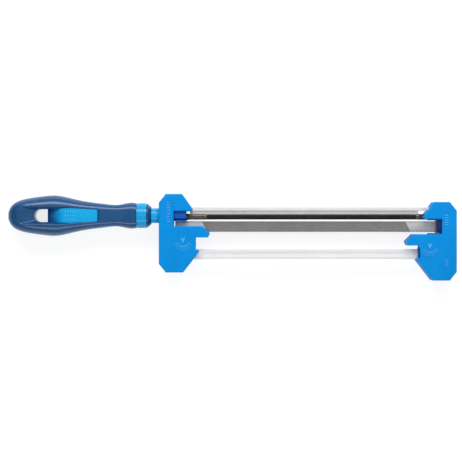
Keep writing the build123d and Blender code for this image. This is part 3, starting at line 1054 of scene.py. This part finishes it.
def face_height(node: str, x: float, y: float, side: Side) -> float:
    """Where a CAD node's outer surface lies over a point of the plane.

    Args:
        node: the CAD node.
        x: the point's place along the tool.
        y: the point's place across the tool.
        side: the face to look at.

    Returns:
        The height of the surface.
    """
    low, high = corners(node)
    start = high.z + RAY_RISE if side is Side.FRONT else low.z - RAY_RISE
    shell = bmesh.new()
    shell.from_mesh(frame["nodes"][node].data)
    tree = BVHTree.FromBMesh(shell)
    shell.free()
    place = tree.ray_cast(Vector((x, y, start)), Vector((0, 0, -side.value)))[0]
    if place is None:
        raise ValueError(f"{node} has no surface at {x}, {y}")
    return place.z


def tree_once(name: str, make: Callable[[], bpy.types.NodeTree]) -> bpy.types.NodeTree:
    """A shared tree, made the first time that it is wanted."""
    return bpy.data.node_groups.get(name) or make()


@dataclass
class Handle:
    """The grip, its bright core with the ribbed ring, and the nose cap."""

    voxel: float = 0.42 * MM
    ease: int = 10
    rib_count: int = 36
    rib_width: float = 1.0 * MM
    rib_height: float = 0.7 * MM
    rib_inset: float = 0.9 * MM
    rib_proud: float = 0.15 * MM
    # how far along x the painted shade on the insert's ramp reaches
    fade_length: float = 15.5 * MM
    patch_from_butt: float = 59.0 * MM
    patch_wide: float = 9.0 * MM
    patch_tall: float = 7.4 * MM

    def build(self) -> None:
        """Builds every piece of the handle."""
        self.grip()
        self.core()
        refined("nose_cap", GRIP, 0.3 * MM)
        refined("handle_pin", ZINC, 0.1 * MM)

    def grip(self) -> None:
        """The grip as one soft moulding with eased edges."""
        piece = add_object("handle_grip_shown", merged_copy("handle_grip"))
        remesh = piece.modifiers.new("skin", "REMESH")
        remesh.mode = "VOXEL"
        remesh.voxel_size = self.voxel
        smooth = piece.modifiers.new("ease", "SMOOTH")
        smooth.factor = 0.5
        smooth.iterations = self.ease
        settle(piece)
        piece.data.shade_smooth()
        wear(piece, GRIP)
        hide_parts("handle_grip")
        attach(piece, BODY_OF["handle_grip"])

    def core(self) -> None:
        """The bright insert, ring and neck, with ribs round the ring. The insert's ramp gets
        painted shade, dark at its end by the hang hole.
        """
        core_low, core_high = corners("handle_core")
        # painted shade: the ramp darkens towards the hang hole end, as if in the hole's shade
        fade = (core_low.x, core_low.x + self.fade_length)
        ramp = replace(INSERT, name="insert_fading", fade=fade, deep=RAMP_PAINTED_SHADE)
        refined("handle_core", ramp, 0.35 * MM)
        cap_low = corners("nose_cap")[0]
        grip_high = corners("handle_grip")[1]
        ring_start, ring_end = grip_high.x, cap_low.x
        radius = (core_high.y - core_low.y) / 2 - self.rib_height / 2 + self.rib_proud
        ribs = run_tree(
            "ring_ribs", tree_once("standing_ribs", ribs_tree), INSERT,
            Count=self.rib_count, Radius=radius,
            Length=ring_end - ring_start - 2 * self.rib_inset,
            Width=self.rib_width, Height=self.rib_height,
        )
        middle = (core_low + core_high) / 2
        centre = Vector(((ring_start + ring_end) / 2, middle.y, middle.z))
        ribs.data.transform(Matrix.Translation(centre) @ Matrix.Rotation(math.pi / 2, 4, "Y"))
        fasten(ribs, "handle_core")
        for side in Side:
            self.patch(side, middle.y)

    def patch(self, side: Side, level: float) -> None:
        """Low raised bars on the bright insert, along its sloping face.

        Args:
            side: which face they are on.
            level: y of the handle's axis.
        """
        start = corners("handle_grip")[0].x + self.patch_from_butt
        half = self.patch_wide / 2
        near = face_height("handle_core", start - half, level, side)
        far = face_height("handle_core", start + half, level, side)
        patch = run_tree(
            f"insert_{side.label}_bars", tree_once("bar_patch", grid_tree), INSERT_BARS,
            Wide=self.patch_wide, Tall=self.patch_tall,
        )
        slope = math.atan2(near - far, self.patch_wide)
        centre = Matrix.Translation((start, level, (near + far) / 2))
        patch.data.transform(centre @ Matrix.Rotation(slope, 4, "Y"))
        fasten(patch, "handle_core")


@dataclass(frozen=True)
class MarkLayout:
    """Where one face's raised marks lie, from the outer edge and the top.

    tick_rows holds each row's drop and its count of ticks. scale_turn is the angle
    at which the arc of ticks starts, and pointing is the way its arrowhead points.
    """

    tick_rows: tuple[tuple[float, int], ...]
    scale_inset: float
    scale_drop: float
    scale_turn: float
    pointing: float


@dataclass
class EndPiece:
    """One end of the tool: two covers, the dark core, its screws and its marks."""

    name: str
    outward: float
    tick_inset: float
    layouts: dict[Side, MarkLayout]
    scale_rows: tuple[tuple[float, float], ...] = ((6.2 * MM, 1.9 * MM), (8.8 * MM, 1.1 * MM))
    pointer_width: float = 4.4 * MM
    pointer_height: float = 5.2 * MM
    relief: float = 0.5 * MM

    def build(self) -> None:
        """Builds every piece of this end."""
        refined(f"{self.name}_core", CORE, 0.3 * MM)
        refined(f"{self.name}_screws", ZINC, 0.0)
        for side in Side:
            refined(f"{self.name}_{side.label}_cover", COVER, 0.25 * MM)
            self.marks(side)

    def marks(self, side: Side) -> None:
        """The raised ticks, and the angle scale with its pointer, on one face.

        Args:
            side: which face they are on.
        """
        layout = self.layouts[side]
        cover = f"{self.name}_{side.label}_cover"
        low, high = corners(cover)
        outer = low.x if self.outward < 0 else high.x
        face = high.z if side is Side.FRONT else low.z
        for row, (drop, count) in enumerate(layout.tick_rows):
            ticks = run_tree(
                f"{self.name}_{side.label}_ticks_{row}", tree_once("raised_ticks", ticks_tree),
                MARK_WEAR_AND_HIGHLIGHT, Count=count, Height=2 * self.relief,
            )
            place = Vector((outer - self.outward * self.tick_inset, high.y - drop, face))
            ticks.data.transform(Matrix.Translation(place))
            fasten(ticks, cover)
        inward = outer - self.outward * layout.scale_inset
        centre = Vector((inward, high.y - layout.scale_drop, face))
        self.pointer(side, cover, centre)
        for row, (radius, long) in enumerate(self.scale_rows):
            scale = run_tree(
                f"{self.name}_{side.label}_scale_{row}", tree_once("angle_scale", arc_tree),
                MARK_WEAR_AND_HIGHLIGHT, Radius=radius, Long=long, Height=2 * self.relief,
                Start=math.radians(layout.scale_turn),
            )
            scale.data.transform(Matrix.Translation(centre))
            fasten(scale, cover)

    def pointer(self, side: Side, cover: str, centre: Vector) -> None:
        """A raised arrowhead that points at the middle of the angle scale.

        Args:
            side: which face it is on.
            cover: the cover that carries it.
            centre: the scale's centre, on the cover's face.
        """
        half = self.pointer_width / 2
        tall = self.pointer_height * self.layouts[side].pointing
        outline = [(-half, tall / 2), (0.0, tall / 4), (half, tall / 2), (0.0, -tall / 2)]
        name = f"{self.name}_{side.label}_pointer"
        arrow = prism(name, outline, centre, -self.relief, self.relief)
        wear(arrow, MARK_WEAR_AND_HIGHLIGHT)
        fasten(arrow, cover)


@dataclass
class Rails:
    """The two guide rails, their pins and the leaves that hold the tip end."""

    def build(self) -> None:
        """Builds both rails and what holds them."""
        for node in ("upper_guide_rail", "lower_guide_rail"):
            refined(node, RAIL, 0.2 * MM)
        for node in ("upper_rail_pin", "lower_rail_pin"):
            refined(node, ZINC, 0.1 * MM)
        for node in ("upper_rail_clip", "lower_rail_clip"):
            refined(node, SPRING, 0.05 * MM)


@dataclass
class RoundFile:
    """One round file with its tang cup, thrust block, spring and tip bush."""

    side: Side
    shank_length: float = 16.6 * MM
    tip_length: float = 3.7 * MM
    pitch: float = 1.05 * MM
    depth: float = 0.22 * MM
    starts: float = 6.0
    sides: int = 33
    ring_step: float = 0.25 * MM
    stub_radius: float = 1.6 * MM
    stub_at_tang: float = 6.0 * MM
    stub_at_tip: float = 5.9 * MM
    break_edge: float = 0.3 * MM
    neck_drop: float = 0.35 * MM
    shank_taper: float = 0.6 * MM
    tip_taper: float = 0.5 * MM
    travel: float = 3.0 * MM

    def build(self) -> None:
        """Builds the file and everything that carries it."""
        label = self.side.label
        self.file(f"round_file_{label}")
        refined(f"thrust_block_{label}", CORE, 0.25 * MM)
        # the cup and bush are black partly as painted shade of the sockets that the file ends sit
        # in
        refined(f"tang_cup_{label}", BLACK_AND_SHADE, 0.2 * MM)
        refined(f"tip_bush_{label}", BLACK_AND_SHADE, 0.15 * MM)
        spring = f"thrust_spring_{label}"
        coil = refined(spring, SPRING, 0.0)
        squeeze(coil)

    def file(self, node: str) -> None:
        """The file: a plain shank, the spirally cut stretch and a plain tip.

        Args:
            node: the CAD node that it stands for.
        """
        low, high = corners(node)
        middle = (low + high) / 2
        radius = (high.y - low.y) / 2
        stub, rim, neck = self.stub_radius, self.break_edge, radius - self.neck_drop
        tang_end = low.x + self.stub_at_tang
        tip_start = high.x - self.stub_at_tip
        cut_start = tang_end + self.shank_length
        cut_end = tip_start - self.tip_length
        shank = lathe(f"{node}_shank", [
            (low.x, stub - rim), (low.x + rim, stub), (tang_end, stub),
            (tang_end, radius - rim), (tang_end + rim, radius),
            (cut_start - self.shank_taper, radius), (cut_start, neck),
        ], middle)
        tip = lathe(f"{node}_tip", [
            (cut_end, neck), (cut_end + self.tip_taper, radius), (tip_start - rim, radius),
            (tip_start, radius - rim), (tip_start, stub),
            (high.x - rim, stub), (high.x, stub - rim),
        ], middle)
        length = cut_end - cut_start
        tree = tree_once("spiral_cut", spiral_cut_tree)
        cut = run_tree(
            f"{node}_cut", tree, ROUND_CUT, Length=length, Radius=radius, Pitch=self.pitch,
            Depth=self.depth, Starts=self.starts, Rings=round(length / self.ring_step),
            Sides=self.sides,
        )
        close_up(cut)
        middle.x = (cut_start + cut_end) / 2
        cut.data.transform(Matrix.Translation(middle))
        soften(cut.data, TOOTH_ANGLE)
        for piece, finish in ((shank, ROUND_SHANK), (tip, ROUND_SHANK), (cut, ROUND_CUT)):
            wear(piece, finish)
            fasten(piece, node)
        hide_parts(node)


@dataclass
class FlatFile:
    """The flat file, its slanting cut, its shoe and the shoe's spring."""

    cut_start: float = 27.3 * MM
    cut_end: float = 27.8 * MM
    pitch: float = 0.95 * MM
    slant: float = -0.48
    edge: float = 0.25 * MM
    ridge_share: float = 0.86
    ridge_height: float = 0.24 * MM
    ridge_sunk: float = 0.02 * MM
    bed_depth: float = 0.3 * MM
    bed_proud: float = 0.03 * MM
    travel: float = 2.5 * MM

    def build(self) -> None:
        """Builds the file and what carries its far end."""
        self.file()
        # the shoe's near-black navy is partly its own colour and partly painted shade of its deep
        # pocket
        refined("flat_file_shoe", NAVY_PAINTED_SHADE, 0.3 * MM)
        coil = refined("flat_file_spring", SPRING, 0.0)
        squeeze(coil)

    def file(self) -> None:
        """The bar with bright ground ends, and the darker cut on both faces."""
        low, high = corners("flat_file")
        refined("flat_file", FLAT_END, self.edge)
        start, end = low.x + self.cut_start, high.x - self.cut_end
        count = round((end - start) / self.pitch)
        width = high.y - low.y - 2 * self.edge
        half = (high.z - low.z) / 2
        middle = Vector(((start + end) / 2, (low.y + high.y) / 2, (low.z + high.z) / 2))
        for side in Side:
            self.skin(side, middle, end - start, width, half)
            cut = run_tree(
                f"flat_file_{side.label}_cut", tree_once("cut_ridges", ridge_tree), FLAT_CUT,
                Count=count, Pitch=self.pitch, Width=width, Slant=self.slant,
                Ridge=self.pitch * self.ridge_share, Height=self.ridge_height,
                Level=half - self.ridge_sunk,
            )
            cut.data.transform(Matrix.Translation(middle) @ Matrix.Scale(side.value, 4, (0, 0, 1)))
            if side is Side.BACK:
                cut.data.flip_normals()
            fasten(cut, "flat_file")

    def skin(self, side: Side, middle: Vector, length: float, width: float, half: float) -> None:
        """The dark hardened bed that the ridges stand on.

        Args:
            side: which face it is on.
            middle: the cut stretch's middle.
            length: its length.
            width: its width.
            half: half the file's thickness.
        """
        lean = self.slant * width / 2
        outline = [
            (-length / 2 + lean, width / 2), (length / 2 + lean, width / 2),
            (length / 2 - lean, -width / 2), (-length / 2 - lean, -width / 2),
        ]
        bottom, top = (side.value * (half + z) for z in (-self.bed_depth, self.bed_proud))
        bed = prism(f"flat_file_{side.label}_bed", outline, middle, bottom, top)
        wear(bed, FLAT_CUT)
        fasten(bed, "flat_file")


# Studio


@dataclass
class Studio:
    """The pale floor, the soft lights and the camera that looks straight down."""

    lens: float = 120.0
    sensor: float = 36.0
    frame_share: float = 0.974
    aim_x: float = -0.0009
    aim_y: float = 0.0058
    floor_reach: float = 3.0
    floor_glow: float = 0.8
    world_glow: float = 0.26
    lamps: tuple[tuple[str, tuple[float, ...], tuple[float, float], float], ...] = (
        ("top_softbox", (0.0, 0.0, 1.3), (1.5, 1.0), 1.3),
        ("far_strip", (0.0, 0.75, 0.62), (1.3, 0.30), 9.0),
        ("near_strip", (0.0, -0.75, 0.62), (1.3, 0.26), 3.8),
    )

    def build(self) -> None:
        """Sets up floor, lights and camera."""
        self.floor()
        self.world()
        for lamp in self.lamps:
            self.lamp(*lamp)
        self.camera()

    def floor(self) -> None:
        """A wide pale floor, softly lit from within, at the tool's lowest point."""
        reach = self.floor_reach
        mesh = bpy.data.meshes.new("floor")
        spots = [(-reach, -reach, 0), (reach, -reach, 0), (reach, reach, 0), (-reach, reach, 0)]
        mesh.from_pydata(spots, [], [(0, 1, 2, 3)])
        plane = add_object("floor", mesh)
        material, sheet, shader = open_material("pale_floor")
        grain = place_group(sheet, grain_group(), Grain=300.0, Patch=4.0)
        tone = sheet.mix(grain.outputs["Patches"], (0.29, 0.295, 0.30), (0.31, 0.31, 0.31))
        sheet.feed(tone, shader.inputs["Base Color"])
        shader.inputs["Emission Color"].default_value = WHITE
        shader.inputs["Emission Strength"].default_value = self.floor_glow
        shader.inputs["Roughness"].default_value = 0.9
        mesh.materials.append(material)
        plane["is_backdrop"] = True

    def world(self) -> None:
        """Even white light from all round."""
        world = bpy.data.worlds.new("studio")
        world.use_nodes = True
        background = world.node_tree.nodes["Background"]
        background.inputs["Color"].default_value = WHITE
        background.inputs["Strength"].default_value = self.world_glow
        bpy.context.scene.world = world
        bpy.context.scene.view_settings.view_transform = "Standard"

    def lamp(self, name: str, place: tuple, size: tuple, power: float) -> None:
        """A soft rectangular lamp aimed at the tool.

        Args:
            name: the lamp's name.
            place: where it hangs.
            size: its width and height.
            power: its strength in watts.
        """
        light = bpy.data.lights.new(name, "AREA")
        light.shape = "RECTANGLE"
        light.size, light.size_y = size
        light.energy = power
        lamp = bpy.data.objects.new(name, light)
        lamp.location = place
        lamp.rotation_euler = (-Vector(place)).to_track_quat("-Z", "Y").to_euler()
        bpy.context.scene.collection.objects.link(lamp)

    def camera(self) -> None:
        """The camera, square above the tool's face."""
        low, high = (Vector(corner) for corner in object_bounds())
        width = (high.x - low.x) / self.frame_share
        face = corners("tip_end_front_cover")[1].z
        data = bpy.data.cameras.new("camera")
        data.lens = self.lens
        data.sensor_width = self.sensor
        camera = bpy.data.objects.new("camera", data)
        distance = width * self.lens / self.sensor
        camera.location = (self.aim_x, self.aim_y, face + distance)
        bpy.context.scene.collection.objects.link(camera)
        bpy.context.scene.camera = camera


def main() -> None:
    """Builds the whole tool round the frame and reports each sub-assembly."""
    logging.basicConfig(level=logging.INFO, format="%(name)s: %(message)s")
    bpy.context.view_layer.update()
    parts = {
        "studio": Studio(),
        "handle": Handle(),
        "handle end": EndPiece(
            "handle_end", outward=-1.0, tick_inset=9.0 * MM,
            layouts={
                Side.FRONT: MarkLayout(((8.0 * MM, 9),), 22.5 * MM, 43.0 * MM, -150.0, 1.0),
                Side.BACK: MarkLayout(((12.0 * MM, 9),), 16.0 * MM, 58.0 * MM, 30.0, -1.0),
            },
        ),
        "tip end": EndPiece(
            "tip_end", outward=1.0, tick_inset=9.6 * MM,
            layouts={
                Side.FRONT: MarkLayout(
                    ((12.4 * MM, 5), (54.4 * MM, 3)), 25.0 * MM, 41.0 * MM, -150.0, 1.0,
                ),
                Side.BACK: MarkLayout(((12.4 * MM, 5),), 16.0 * MM, 55.0 * MM, 30.0, -1.0),
            },
        ),
        "rails": Rails(),
        "front round file": RoundFile(Side.FRONT),
        "back round file": RoundFile(Side.BACK),
        "flat file": FlatFile(),
    }
    for name, part in parts.items():
        part.build()
        log.info("built the %s", name)


if __name__ == "__main__":
    main()
